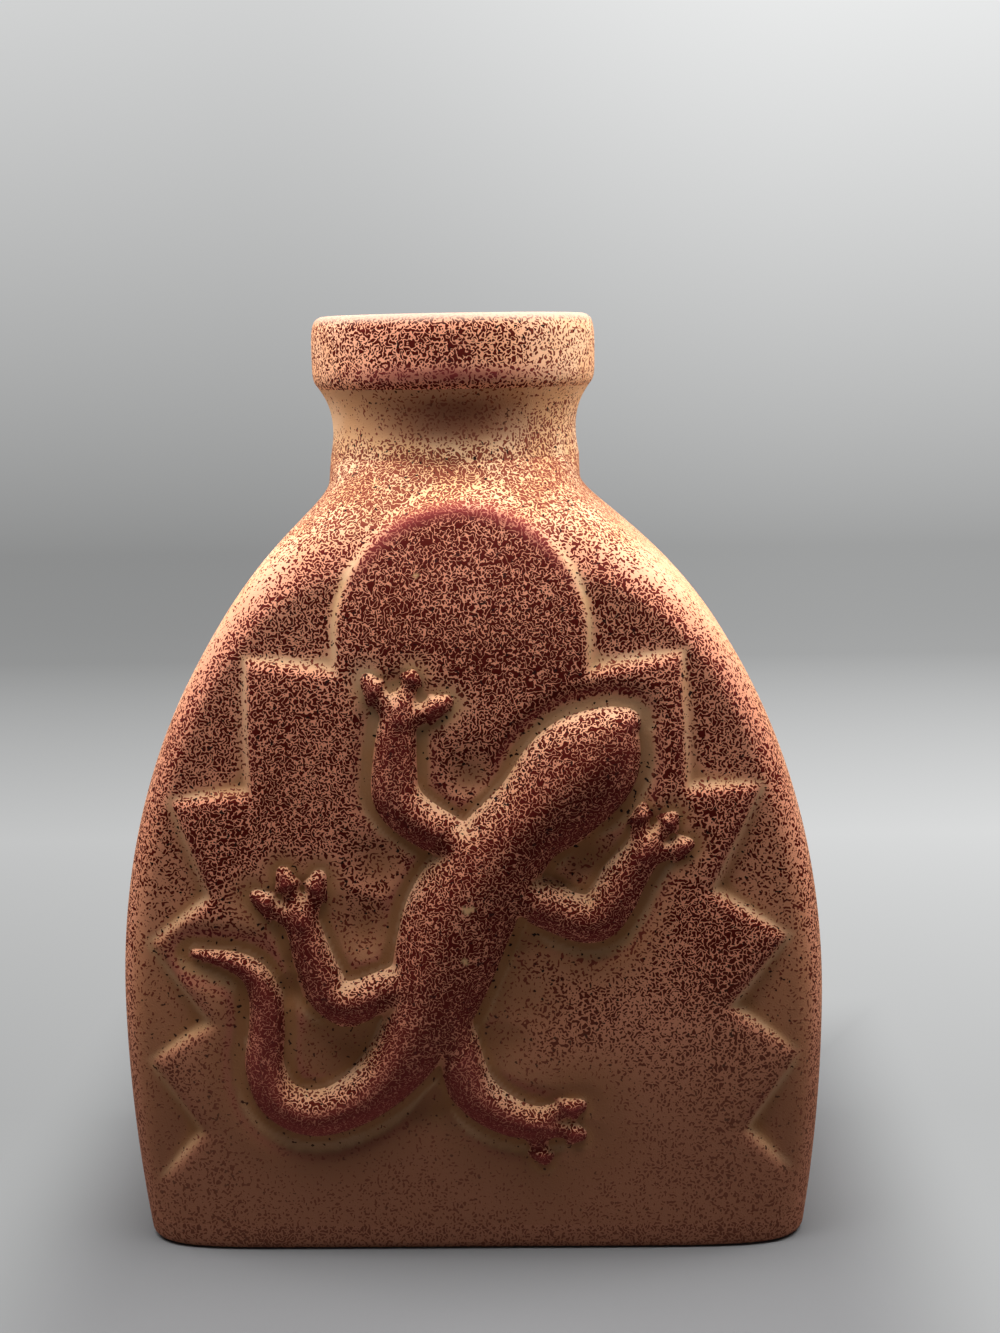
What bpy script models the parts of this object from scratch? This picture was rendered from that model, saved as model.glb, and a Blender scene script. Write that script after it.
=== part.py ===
"""Terracotta bottle vase: a flat-sided body with a carved front, a turned neck and a raised lizard.

Metres, +Z up. The carved front faces -Y and the origin is the middle of the foot.
The vase comes apart at the seams where a potter lutes the soft members together.
"""

import math

import bmesh
import bpy
from mathutils import Vector

# Body, as the outside measures
BODY_WIDTH = 0.1840
BODY_DEPTH = 0.1020
BODY_HEIGHT = 0.2030
FOOT_WIDTH = 0.1740
WIDEST_Z = 0.0630
DOME_DROP = 0.0060
PLAN_SQUARENESS = 8.2
SHOULDER_SQUARENESS = 8.0
NECK_BLEND = 3.5

# Walls and floor
SIDE_WALL = 0.0060
WALL_UNDER_GROUND = 0.0040
FLOOR_THICKNESS = 0.0065
FLOOR_PLUG_HEIGHT = 0.0030
FOOT_ROUND = 0.0020

# Neck and rim, turned about one axis a little to the left of the body's
COLLAR_SHIFT = -0.0034
LEAN_HEIGHT = 0.0530
NECK_RADIUS = 0.0333
NECK_HEIGHT = 0.0180
WAIST_TUCK = 0.0009
WAIST_RISE = 0.0065
NECK_FLARE = 0.0036
RIM_HEIGHT = 0.0190
RIM_STEP = 0.0017
RIM_UNDERCUT = 0.0040
LIP_HEIGHT = 0.0055
LAP_WIDTH = 0.0030
LAP_HEIGHT = 0.0050

# Carved front: an arch and five teeth on each side above a flat sunk ground
GROUND_DEPTH = 0.0036
ARCH_HALF_WIDTH = 0.0310
ARCH_TOP_DROP = 0.0110
ARCH_TOP_INSET = 0.0045
ARCH_LEAN = math.radians(4.0)
ARCH_FOOT_Z = 0.1503
DRAFT_RUN = 0.0030
# Tips of the teeth and the roots between them: (inset from the outline, height), from the top down
TOOTH_TIPS = (
    (0.0141, 0.1543),
    (0.0090, 0.1199),
    (0.0102, 0.0818),
    (0.0089, 0.0507),
    (0.0062, 0.0172),
)
TOOTH_ROOTS = (
    (0.0289, 0.1201),
    (0.0269, 0.0939),
    (0.0265, 0.0624),
    (0.0217, 0.0315),
)

# Lizard: stations of (x, height, half width) along each limb, and how flat each limb is pressed
SPINE_FLATNESS = 0.42
LEG_FLATNESS = 0.62
TOE_FLATNESS = 0.75
SPINE = (
    (0.0455, 0.1385, 0.0022),
    (0.0425, 0.1350, 0.0073),
    (0.0351, 0.1285, 0.0112),
    (0.0285, 0.1235, 0.0128),
    (0.0211, 0.1180, 0.0119),
    (0.0135, 0.1112, 0.0117),
    (0.0058, 0.1020, 0.0130),
    (-0.0015, 0.0905, 0.0145),
    (-0.0055, 0.0795, 0.0141),
    (-0.0096, 0.0664, 0.0121),
    (-0.0149, 0.0559, 0.0095),
    (-0.0220, 0.0461, 0.0075),
    (-0.0312, 0.0393, 0.0066),
    (-0.0415, 0.0367, 0.0064),
    (-0.0499, 0.0407, 0.0057),
    (-0.0532, 0.0496, 0.0051),
    (-0.0524, 0.0589, 0.0046),
    (-0.0524, 0.0668, 0.0042),
    (-0.0547, 0.0734, 0.0036),
    (-0.0602, 0.0772, 0.0028),
    (-0.0703, 0.0794, 0.0013),
)
LEFT_ARM = (
    (0.0005, 0.1060, 0.0059),
    (-0.0125, 0.1140, 0.0064),
    (-0.0175, 0.1200, 0.0066),
    (-0.0178, 0.1280, 0.0061),
    (-0.0171, 0.1360, 0.0055),
    (-0.0160, 0.1425, 0.0047),
)
RIGHT_ARM = (
    (0.0065, 0.0985, 0.0059),
    (0.0225, 0.0900, 0.0066),
    (0.0315, 0.0878, 0.0071),
    (0.0365, 0.0925, 0.0066),
    (0.0400, 0.0985, 0.0059),
    (0.0455, 0.1065, 0.0050),
)
LEFT_LEG = (
    (-0.0115, 0.0735, 0.0059),
    (-0.0285, 0.0667, 0.0059),
    (-0.0350, 0.0676, 0.0059),
    (-0.0379, 0.0733, 0.0057),
    (-0.0403, 0.0800, 0.0053),
    (-0.0432, 0.0900, 0.0047),
)
RIGHT_LEG = (
    (-0.0055, 0.0640, 0.0059),
    (-0.0018, 0.0480, 0.0061),
    (0.0021, 0.0406, 0.0061),
    (0.0097, 0.0354, 0.0057),
    (0.0185, 0.0332, 0.0047),
)
LEFT_ARM_TOES = ((-0.0241, 0.1497), (-0.0130, 0.1505), (-0.0044, 0.1440))
RIGHT_ARM_TOES = ((0.0440, 0.1154), (0.0517, 0.1138), (0.0554, 0.1069))
LEFT_LEG_TOES = ((-0.0537, 0.0946), (-0.0467, 0.1007), (-0.0376, 0.0996))
RIGHT_LEG_TOES = ((0.0277, 0.0386), (0.0276, 0.0308), (0.0185, 0.0245))
TOE_ROOT_WIDTH = 0.0030
TOE_TIP_WIDTH = 0.0019
TOE_SPREAD = 0.12

# Clearance left for the slip in every seam
GAP = 0.0003

# Fineness of the facets
RING_POINTS = 56
RING_COUNT = 24
TURN_STEPS = 56
ARC_STEPS = 5
ARCH_STEPS = 16
LIMB_SIDES = 3

# How far cutters run past what they cut
OVERRUN = 0.0200

BARE_CLAY = (0.52, 0.27, 0.13, 1.0)
RED_CLAY = (0.40, 0.13, 0.08, 1.0)
BROWN_CLAY = (0.45, 0.20, 0.10, 1.0)


def clear_scene():
    for obj in list(bpy.data.objects):
        bpy.data.objects.remove(obj, do_unlink=True)


def new_collection(name):
    collection = bpy.data.collections.new(name)
    bpy.context.scene.collection.children.link(collection)
    return collection


def clay(name, colour):
    material = bpy.data.materials.new(name)
    material.use_nodes = True
    shader = material.node_tree.nodes["Principled BSDF"]
    shader.inputs["Base Color"].default_value = colour
    shader.inputs["Roughness"].default_value = 0.85
    shader.inputs["Metallic"].default_value = 0.0
    return material


def add_object(name, mesh, collection):
    obj = bpy.data.objects.new(name, mesh)
    collection.objects.link(obj)
    return obj


def mesh_from(shape, name):
    """The bmesh as a mesh with its faces turned outwards."""
    bmesh.ops.recalc_face_normals(shape, faces=shape.faces)
    mesh = bpy.data.meshes.new(name)
    shape.to_mesh(mesh)
    shape.free()
    return mesh


def as_helper(obj):
    obj.hide_render = True
    obj.display_type = "WIRE"
    return obj


def finish_part(obj, colour, sharp_angle=40.0):
    obj.data.materials.append(clay(obj.name + "_clay", colour))
    obj.data.shade_smooth()
    obj.data.set_sharp_from_angle(angle=math.radians(sharp_angle))


def boolean(obj, operation, other):
    modifier = obj.modifiers.new(operation.lower(), "BOOLEAN")
    modifier.operation = operation
    modifier.solver = "EXACT"
    if isinstance(other, bpy.types.Collection):
        modifier.operand_type = "COLLECTION"
        modifier.collection = other
    else:
        modifier.object = other


# The body's form: an oval dome in the front view, a square-shouldered one from the side,
# both running into the round foot of the neck


def into_neck(half):
    return (half**NECK_BLEND + NECK_RADIUS**NECK_BLEND) ** (1.0 / NECK_BLEND)


def before_neck(half):
    return (half**NECK_BLEND - NECK_RADIUS**NECK_BLEND) ** (1.0 / NECK_BLEND)


def rise(z, top):
    """How far z has climbed from the widest line to the top, from 0 to 1."""
    return min(max((z - WIDEST_Z) / (top - WIDEST_Z), 0.0), 1.0)


def half_width(z):
    if z > WIDEST_Z:
        dome = math.sqrt(1.0 - rise(z, BODY_HEIGHT - DOME_DROP) ** 2)
        return into_neck(before_neck(BODY_WIDTH / 2) * dome)
    fall = (WIDEST_Z - max(z, 0.0)) / WIDEST_Z
    return BODY_WIDTH / 2 - (BODY_WIDTH - FOOT_WIDTH) / 2 * fall**2


def half_depth(z):
    dome = math.sqrt(1.0 - rise(z, BODY_HEIGHT) ** SHOULDER_SQUARENESS)
    return into_neck(before_neck(BODY_DEPTH / 2) * dome)


def squareness(z):
    """Exponent of the plan's superellipse: 2 is round."""
    return 2.0 + (PLAN_SQUARENESS - 2.0) * (1.0 - rise(z, BODY_HEIGHT) ** 4)


def middle(z):
    """The body's middle in X, which moves over to the collar's axis near the top."""
    lean = min(max(1.0 - (BODY_HEIGHT - z) / LEAN_HEIGHT, 0.0), 1.0)
    return COLLAR_SHIFT * lean * lean * (3.0 - 2.0 * lean)


def front_of(x, z):
    """Y of the uncarved front at a place on it."""
    across = min(abs(x - middle(z)) / half_width(z), 1.0)
    power = squareness(z)
    return -half_depth(z) * (1.0 - across**power) ** (1.0 / power)


def front_wall_at(z):
    """The front wall, thick enough to carve, which thins to the side wall where it meets the neck."""
    extra = GROUND_DEPTH + WALL_UNDER_GROUND - SIDE_WALL
    return SIDE_WALL + extra * (1.0 - rise(z, BODY_HEIGHT) ** 4)


def section(z, side_inset, front_inset):
    """Points of the plan at height z, drawn in from the outside."""
    power = 2.0 / squareness(z)
    wide = half_width(z) - side_inset
    points = []
    for step in range(RING_POINTS):
        angle = 2.0 * math.pi * step / RING_POINTS
        cos, sin = math.cos(angle), math.sin(angle)
        deep = half_depth(z) - (front_inset if sin < 0.0 else side_inset)
        x = middle(z) + wide * math.copysign(abs(cos) ** power, cos)
        y = deep * math.copysign(abs(sin) ** power, sin)
        points.append((x, y))
    return points


def loft(name, levels, collection):
    """A closed body through plan sections, each level (height, points)."""
    shape = bmesh.new()
    rings = []
    for z, points in levels:
        rings.append([shape.verts.new((x, y, z)) for x, y in points])
    for lower, upper in zip(rings, rings[1:]):
        for here in range(RING_POINTS):
            after = (here + 1) % RING_POINTS
            shape.faces.new((lower[here], lower[after], upper[after], upper[here]))
    shape.faces.new(rings[0][::-1])
    shape.faces.new(rings[-1])
    return add_object(name, mesh_from(shape, name), collection)


def wall_heights(bottom, top):
    """Heights of the body's sections, closer together up the shoulder."""
    share = [step / (RING_COUNT - 1) for step in range(RING_COUNT)]
    return [bottom + (top - bottom) * (1.0 - (1.0 - s) ** 1.5) for s in share]


def outer_body(name, collection, grown=0.0):
    levels = []
    for z in wall_heights(FLOOR_THICKNESS + GAP, BODY_HEIGHT):
        levels.append((z, section(z, -grown, -grown)))
    return loft(name, levels, collection)


def hollow(helpers):
    """The space inside the walls, run past both of their ends."""
    heights = wall_heights(FLOOR_THICKNESS, BODY_HEIGHT)
    heights = [heights[0] - OVERRUN] + heights + [heights[-1] + OVERRUN]
    levels = [(z, section(z, SIDE_WALL, front_wall_at(z))) for z in heights]
    return as_helper(loft("hollow", levels, helpers))


def half_block(name, y_from, y_to, helpers):
    """A block that takes away one half of the body along the mould seam."""
    shape = bmesh.new()
    bmesh.ops.create_cube(shape, size=1.0)
    size = Vector((BODY_WIDTH + OVERRUN, y_to - y_from, BODY_HEIGHT + OVERRUN))
    bmesh.ops.scale(shape, vec=size, verts=shape.verts)
    bmesh.ops.translate(shape, vec=(0.0, (y_from + y_to) / 2, BODY_HEIGHT / 2), verts=shape.verts)
    return as_helper(add_object(name, mesh_from(shape, name), helpers))


def neck_bore():
    return NECK_RADIUS - SIDE_WALL


def lap_radius():
    return neck_bore() + LAP_WIDTH


def neck_socket(helpers):
    """The ledge inside the top of the walls that takes the neck's lower lap."""
    shape = bmesh.new()
    depth = LAP_HEIGHT + GAP + OVERRUN
    radius = lap_radius() + GAP
    bmesh.ops.create_cone(
        shape, cap_ends=True, segments=TURN_STEPS, radius1=radius, radius2=radius, depth=depth
    )
    bottom = BODY_HEIGHT - LAP_HEIGHT
    bmesh.ops.translate(shape, vec=(COLLAR_SHIFT, 0.0, bottom + depth / 2), verts=shape.verts)
    return as_helper(add_object("neck_socket", mesh_from(shape, "neck_socket"), helpers))


def arch_top():
    return BODY_HEIGHT - ARCH_TOP_DROP


def arch_outline():
    """The arch in the front view, from its left foot over the top to its right foot."""
    spring = arch_top() - ARCH_HALF_WIDTH
    foot = spring - ARCH_HALF_WIDTH
    points = [(-ARCH_HALF_WIDTH, foot)]
    for step in range(ARCH_STEPS + 1):
        angle = math.pi * (1.0 - step / ARCH_STEPS)
        points.append((ARCH_HALF_WIDTH * math.cos(angle), spring + ARCH_HALF_WIDTH * math.sin(angle)))
    points.append((ARCH_HALF_WIDTH, foot))
    return points


def prism(name, front, back, y_front, y_back, collection):
    """A body between two like outlines in X and Z, one at each Y."""
    shape = bmesh.new()
    near = [shape.verts.new((x, y_front(z), z)) for x, z in front]
    far = [shape.verts.new((x, y_back(z), z)) for x, z in back]
    count = len(near)
    for here in range(count):
        after = (here + 1) % count
        shape.faces.new((near[here], near[after], far[after], far[here]))
    shape.faces.new(near)
    shape.faces.new(far[::-1])
    return add_object(name, mesh_from(shape, name), collection)


def arch_face(z):
    """Y of the arch's leaning face."""
    return -(BODY_DEPTH / 2 - ARCH_TOP_INSET) - (arch_top() - z) * math.tan(ARCH_LEAN)


def arch_boss(helpers):
    outline = arch_outline()
    boss = prism("arch_boss", outline, outline, arch_face, lambda z: -neck_bore(), helpers)
    return as_helper(boss)


def ground_y():
    return -(BODY_DEPTH / 2 - GROUND_DEPTH)


def carved_point(side, inset, z):
    """A point of the zigzag in the front view, measured in from the outline."""
    return Vector((side * (half_width(z) - inset), z))


def past(start, end):
    """A point beyond the end of a line, out past the body's edge."""
    return end + (end - start).normalized() * OVERRUN


def pocket(name, outline, cutters):
    """A cutter down to the sunk ground, whose first corner draws in as it goes down."""
    centre = sum(outline, Vector((0.0, 0.0))) / len(outline)
    inward = (centre - outline[0]).normalized() * DRAFT_RUN
    floor = [outline[0] + inward] + outline[1:]
    mouth = [outline[0] - inward] + outline[1:]
    y_mouth = ground_y() - 2 * GROUND_DEPTH
    cutter = prism(name, mouth, floor, lambda z: y_mouth, lambda z: ground_y(), cutters)
    as_helper(cutter)


def pockets():
    """The sunk triangles between the teeth, and the pair beside the arch."""
    cutters = new_collection("pocket_cutters")
    for name, side in (("left", -1.0), ("right", 1.0)):
        tips = [carved_point(side, *tip) for tip in TOOTH_TIPS]
        roots = [carved_point(side, *root) for root in TOOTH_ROOTS]
        arch_foot = Vector((side * ARCH_HALF_WIDTH, ARCH_FOOT_Z))
        over_foot = Vector((arch_foot.x, arch_top()))
        outer = past(arch_foot, tips[0])
        over_outer = Vector((outer.x, arch_top()))
        pocket(f"pocket_{name}_arch", [arch_foot, over_foot, over_outer, outer], cutters)
        for index, root in enumerate(roots):
            outline = [root, past(root, tips[index]), past(root, tips[index + 1])]
            pocket(f"pocket_{name}_{index}", outline, cutters)
    return cutters


def floor_slab(parts):
    levels = []
    foot_round = min(FOOT_ROUND, FLOOR_THICKNESS / 2)
    for step in range(ARC_STEPS):
        angle = 0.5 * math.pi * step / (ARC_STEPS - 1)
        inset = foot_round * (1.0 - math.sin(angle))
        z = foot_round * (1.0 - math.cos(angle))
        levels.append((z, section(z, inset, inset)))
    top = FLOOR_THICKNESS
    levels.append((top, section(top, 0.0, 0.0)))
    plug = section(top, SIDE_WALL + GAP, front_wall_at(top) + GAP)
    levels.append((top, plug))
    levels.append((top + FLOOR_PLUG_HEIGHT, plug))
    slab = loft("floor_slab", levels, parts)
    finish_part(slab, BROWN_CLAY)


def walls(parts, helpers):
    space = hollow(helpers)
    socket = neck_socket(helpers)
    reach = BODY_DEPTH + OVERRUN
    front = outer_body("front_wall", parts)
    finish_part(front, RED_CLAY)
    boolean(front, "UNION", arch_boss(helpers))
    boolean(front, "DIFFERENCE", pockets())
    boolean(front, "DIFFERENCE", space)
    boolean(front, "DIFFERENCE", half_block("behind_seam", -GAP / 2, reach, helpers))
    boolean(front, "DIFFERENCE", socket)
    back = outer_body("back_wall", parts)
    finish_part(back, BROWN_CLAY)
    boolean(back, "DIFFERENCE", space)
    boolean(back, "DIFFERENCE", half_block("before_seam", -reach, GAP / 2, helpers))
    boolean(back, "DIFFERENCE", socket)


def turned(name, profile, parts, colour):
    """A closed profile of (radius, height) turned about the collar's axis."""
    shape = bmesh.new()
    points = [shape.verts.new((radius, 0.0, z)) for radius, z in profile]
    for here, after in zip(points, points[1:] + points[:1]):
        shape.edges.new((here, after))
    mesh = bpy.data.meshes.new(name)
    shape.to_mesh(mesh)
    shape.free()
    obj = add_object(name, mesh, parts)
    obj.location.x = COLLAR_SHIFT
    obj.data.materials.append(clay(name + "_clay", colour))
    screw = obj.modifiers.new("turn", "SCREW")
    screw.steps = TURN_STEPS
    screw.render_steps = TURN_STEPS
    screw.use_merge_vertices = True
    screw.merge_threshold = 0.00001
    screw.use_smooth_shade = True
    return obj


def neck_top_radius():
    return NECK_RADIUS - WAIST_TUCK + NECK_FLARE


def neck(parts):
    bore, lap = neck_bore(), lap_radius()
    foot = BODY_HEIGHT + GAP
    waist = BODY_HEIGHT + WAIST_RISE
    top = BODY_HEIGHT + NECK_HEIGHT
    profile = [(bore, top + LAP_HEIGHT), (lap, top + LAP_HEIGHT), (lap, top)]
    for step in range(ARC_STEPS + 1):
        share = 1.0 - step / ARC_STEPS
        radius = NECK_RADIUS - WAIST_TUCK + NECK_FLARE * share**2
        profile.append((radius, waist + (top - waist) * share))
    profile += [(NECK_RADIUS, foot), (lap, foot)]
    profile += [(lap, foot - LAP_HEIGHT), (bore, foot - LAP_HEIGHT)]
    turned("neck", profile, parts, BARE_CLAY)


def rim(parts):
    bore = neck_bore()
    socket = lap_radius() + GAP
    seat = BODY_HEIGHT + NECK_HEIGHT + GAP
    outside = neck_top_radius() + RIM_STEP
    lip_z = BODY_HEIGHT + NECK_HEIGHT + RIM_HEIGHT - LIP_HEIGHT
    centre = (bore + outside) / 2
    reach = (outside - bore) / 2
    profile = []
    for step in range(2 * ARC_STEPS + 1):
        angle = math.pi * (1.0 - step / (2 * ARC_STEPS))
        profile.append((centre + reach * math.cos(angle), lip_z + LIP_HEIGHT * math.sin(angle)))
    profile += [(outside, seat + RIM_UNDERCUT), (neck_top_radius(), seat), (socket, seat)]
    profile += [(socket, seat + LAP_HEIGHT), (bore, seat + LAP_HEIGHT)]
    turned("rim", profile, parts, RED_CLAY)


def limb(name, stations, flatness, collection):
    """A tapering limb along the front, pressed flat, as a closed mesh."""
    curve = bpy.data.curves.new(name, "CURVE")
    curve.dimensions = "3D"
    curve.bevel_depth = 1.0
    curve.bevel_resolution = LIMB_SIDES
    curve.use_fill_caps = True
    spline = curve.splines.new("POLY")
    spline.points.add(len(stations) - 1)
    for point, (x, z, half) in zip(spline.points, stations):
        point.co = (x, front_of(x, z) / flatness, z, 1.0)
        point.radius = half
    guide = add_object(name + "_guide", curve, collection)
    bpy.context.view_layer.update()
    graph = bpy.context.evaluated_depsgraph_get()
    mesh = bpy.data.meshes.new_from_object(guide.evaluated_get(graph))
    shape = bmesh.new()
    shape.from_mesh(mesh)
    bmesh.ops.remove_doubles(shape, verts=shape.verts, dist=0.00001)
    bmesh.ops.scale(shape, vec=(1.0, flatness, 1.0), verts=shape.verts)
    obj = add_object(name, mesh_from(shape, name), collection)
    bpy.data.objects.remove(guide)
    return obj


def toe_stations(leg, tip):
    """A toe from inside the foot to its tip."""
    ankle = Vector(leg[-1][:2])
    shin = (Vector(leg[-2][:2]) - ankle).normalized()
    tip = Vector(tip)
    root = ankle + shin * TOE_ROOT_WIDTH + (tip - ankle) * TOE_SPREAD
    ball = root.lerp(tip, 0.75)
    return (*root, TOE_ROOT_WIDTH), (*ball, TOE_ROOT_WIDTH), (*tip, TOE_TIP_WIDTH)


def lizard_relief(parts, helpers):
    limbs = new_collection("lizard_limbs")
    legs = (
        ("left_arm", LEFT_ARM, LEFT_ARM_TOES),
        ("right_arm", RIGHT_ARM, RIGHT_ARM_TOES),
        ("left_leg", LEFT_LEG, LEFT_LEG_TOES),
        ("right_leg", RIGHT_LEG, RIGHT_LEG_TOES),
    )
    for name, leg, toes in legs:
        as_helper(limb(name, leg, LEG_FLATNESS, limbs))
        for place, tip in enumerate(toes):
            as_helper(limb(f"{name}_toe_{place}", toe_stations(leg, tip), TOE_FLATNESS, limbs))
    lizard = limb("lizard_relief", SPINE, SPINE_FLATNESS, parts)
    finish_part(lizard, RED_CLAY, sharp_angle=60.0)
    boolean(lizard, "UNION", limbs)
    boolean(lizard, "DIFFERENCE", as_helper(outer_body("lizard_seat", helpers, grown=GAP)))


def main():
    clear_scene()
    parts = new_collection("terracotta_vase")
    helpers = new_collection("cutters")
    floor_slab(parts)
    walls(parts, helpers)
    neck(parts)
    rim(parts)
    lizard_relief(parts, helpers)


main()
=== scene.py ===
"""Looks of the flat-sided bottle vase: fine carved meshes under a matte tan glaze with red speckle.

Metres, +Z up. The carved front faces -Y and the origin is the middle of the foot.
"""

import math

import bmesh
import bpy
import numpy as np
from mathutils import Matrix, Vector


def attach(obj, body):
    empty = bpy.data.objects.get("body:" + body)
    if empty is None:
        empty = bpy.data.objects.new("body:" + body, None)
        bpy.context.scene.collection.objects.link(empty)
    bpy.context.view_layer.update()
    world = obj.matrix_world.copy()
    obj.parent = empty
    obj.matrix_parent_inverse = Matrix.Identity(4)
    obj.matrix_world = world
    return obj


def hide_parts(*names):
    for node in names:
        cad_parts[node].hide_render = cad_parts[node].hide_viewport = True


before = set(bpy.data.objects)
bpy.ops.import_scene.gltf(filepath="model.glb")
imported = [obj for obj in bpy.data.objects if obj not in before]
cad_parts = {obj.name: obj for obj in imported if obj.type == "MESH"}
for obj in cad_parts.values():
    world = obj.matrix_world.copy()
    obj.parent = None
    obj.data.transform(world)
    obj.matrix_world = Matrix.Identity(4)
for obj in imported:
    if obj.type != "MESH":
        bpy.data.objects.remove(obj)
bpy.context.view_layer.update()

# Body, as the outside measures
BODY_WIDTH = 0.1838
BODY_DEPTH = 0.1020
BODY_HEIGHT = 0.2030
FOOT_WIDTH = 0.1739
WIDEST_Z = 0.0630
DOME_DROP = 0.0060
PLAN_SQUARENESS = 8.2
SHOULDER_SQUARENESS = 8.0
# Power of the climb with which the square plan turns round
PLAN_FADE = 4
NECK_BLEND = 3.5
FLOOR_THICKNESS = 0.0065
FOOT_ROUND = 0.0020
SIDE_WALL = 0.0060
FRONT_WALL = 0.0076

# Neck and rim, turned about one axis a little to the left of the body's
COLLAR_SHIFT = -0.0034
LEAN_HEIGHT = 0.0530
NECK_RADIUS = 0.0333
BORE_RADIUS = 0.0273
NECK_TOP = 0.2210
# Outside of the neck and of the rim, as (radius, height)
NECK_PROFILE = (
    (0.0333, 0.2030),
    (0.0328, 0.2058),
    (0.0325, 0.2090),
    (0.0326, 0.2122),
    (0.0332, 0.2153),
    (0.0343, 0.2182),
    (0.0360, 0.2210),
)
RIM_PROFILE = (
    (0.0360, 0.2210),
    (0.0371, 0.2226),
    (0.0376, 0.2248),
    (0.0377, 0.2285),
    (0.0377, 0.2330),
    (0.0375, 0.2362),
    (0.0368, 0.2385),
    (0.0353, 0.2397),
    (0.0330, 0.2399),
    (0.0303, 0.2394),
    (0.0284, 0.2380),
    (0.0273, 0.2345),
)

# Carved front: an arch and five teeth on each side above a flat sunk ground
GROUND_DEPTH = 0.0036
ARCH_CENTRE_X = -0.0005
ARCH_HALF_WIDTH = 0.0310
ARCH_TOP = 0.1920
ARCH_FOOT = 0.1500
ARCH_FOOT_INSET = 0.0006
ARCH_TOP_INSET = 0.0060
ARCH_SLOPE = 1.1
ARCH_TOP_SLOPE = 1.3
ARCH_TOP_BAND = (0.172, 0.190)
ARCH_CLIMB_LIMIT = 1.25
ARCH_FOOT_FALL = 0.5
ARCH_FOOT_ROUND = 0.0080
POCKET_SLOPE = 1.5
POCKET_BLEND = 3.0
EDGE_ROUND = 0.0010
GROUND_ROUND = 0.0006
BOSS_ROUND = 0.0008
# The zigzag of each side from the arch's foot down, tips and roots in turn, as (x, height)
ZIGZAG_LEFT = (
    (-0.0324, 0.1508),
    (-0.0544, 0.1541),
    (-0.0542, 0.1201),
    (-0.0749, 0.1185),
    (-0.0647, 0.0935),
    (-0.0814, 0.0816),
    (-0.0656, 0.0606),
    (-0.0824, 0.0502),
    (-0.0686, 0.0316),
    (-0.0817, 0.0176),
)
ZIGZAG_RIGHT = (
    (0.0296, 0.1498),
    (0.0540, 0.1545),
    (0.0548, 0.1201),
    (0.0741, 0.1213),
    (0.0605, 0.0943),
    (0.0804, 0.0821),
    (0.0653, 0.0641),
    (0.0836, 0.0512),
    (0.0694, 0.0314),
    (0.0847, 0.0169),
)

# The groove that the lizard is seated in: its full depth, and how far it stays flat
HALO_DEPTH = 0.0028
HALO_FLAT = 0.0011
# How deep each kind of limb presses the groove, as a share, and how far it reaches
BODY_HALO = (1.0, 0.0034)
LEG_HALO = (0.80, 0.0030)
TOE_HALO = (0.22, 0.0022)
# The wall shows a shallower and wider groove
SOFT_PRESS = 0.50
SOFT_REACH = 2.0
# Hollows pressed between the limbs, as (x, height, reach, share of the halo's depth)
HOLLOWS = (
    (0.0300, 0.1050, 0.0095, 1.0),
    (0.0215, 0.0975, 0.0060, 0.9),
    (-0.0320, 0.0540, 0.0125, 1.0),
    (-0.0450, 0.0695, 0.0060, 1.0),
    (-0.0430, 0.0770, 0.0055, 0.8),
    (-0.0263, 0.0857, 0.0085, 0.8),
    (-0.0217, 0.1024, 0.0085, 0.7),
    (0.0015, 0.1242, 0.0065, 0.8),
    (0.0140, 0.0830, 0.0080, 0.7),
    (0.0130, 0.0680, 0.0140, 0.8),
    (0.0090, 0.0560, 0.0090, 0.8),
    (-0.0090, 0.0390, 0.0070, 0.9),
)

# Lizard: stations of (x, height, half width, rise above the sunk ground) along each limb
SPINE = (
    (0.0365, 0.1330, 0.0078, 0.0068),
    (0.0340, 0.1303, 0.0105, 0.0076),
    (0.0311, 0.1270, 0.0128, 0.0081),
    (0.0270, 0.1233, 0.0136, 0.0083),
    (0.0205, 0.1175, 0.0126, 0.0081),
    (0.0135, 0.1112, 0.0118, 0.0081),
    (0.0058, 0.1020, 0.0130, 0.0084),
    (-0.0015, 0.0905, 0.0145, 0.0087),
    (-0.0055, 0.0795, 0.0140, 0.0086),
    (-0.0096, 0.0664, 0.0120, 0.0081),
    (-0.0149, 0.0559, 0.0097, 0.0074),
    (-0.0220, 0.0461, 0.0079, 0.0068),
    (-0.0312, 0.0393, 0.0071, 0.0064),
    (-0.0415, 0.0367, 0.0068, 0.0060),
    (-0.0499, 0.0407, 0.0062, 0.0057),
    (-0.0532, 0.0496, 0.0056, 0.0054),
    (-0.0524, 0.0589, 0.0052, 0.0051),
    (-0.0524, 0.0668, 0.0048, 0.0048),
    (-0.0547, 0.0734, 0.0042, 0.0043),
    (-0.0602, 0.0772, 0.0033, 0.0038),
    (-0.0703, 0.0794, 0.0017, 0.0028),
)
BROW = (
    (0.0140, 0.1215, 0.0052, 0.0046),
    (0.0200, 0.1292, 0.0060, 0.0052),
    (0.0265, 0.1340, 0.0062, 0.0057),
    (0.0345, 0.1369, 0.0056, 0.0056),
    (0.0401, 0.1379, 0.0044, 0.0050),
)
LEFT_ARM = (
    (0.0005, 0.1060, 0.0060, 0.0052),
    (-0.0125, 0.1140, 0.0064, 0.0052),
    (-0.0175, 0.1200, 0.0066, 0.0052),
    (-0.0178, 0.1280, 0.0061, 0.0049),
    (-0.0171, 0.1360, 0.0055, 0.0045),
    (-0.0160, 0.1425, 0.0048, 0.0040),
)
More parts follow.
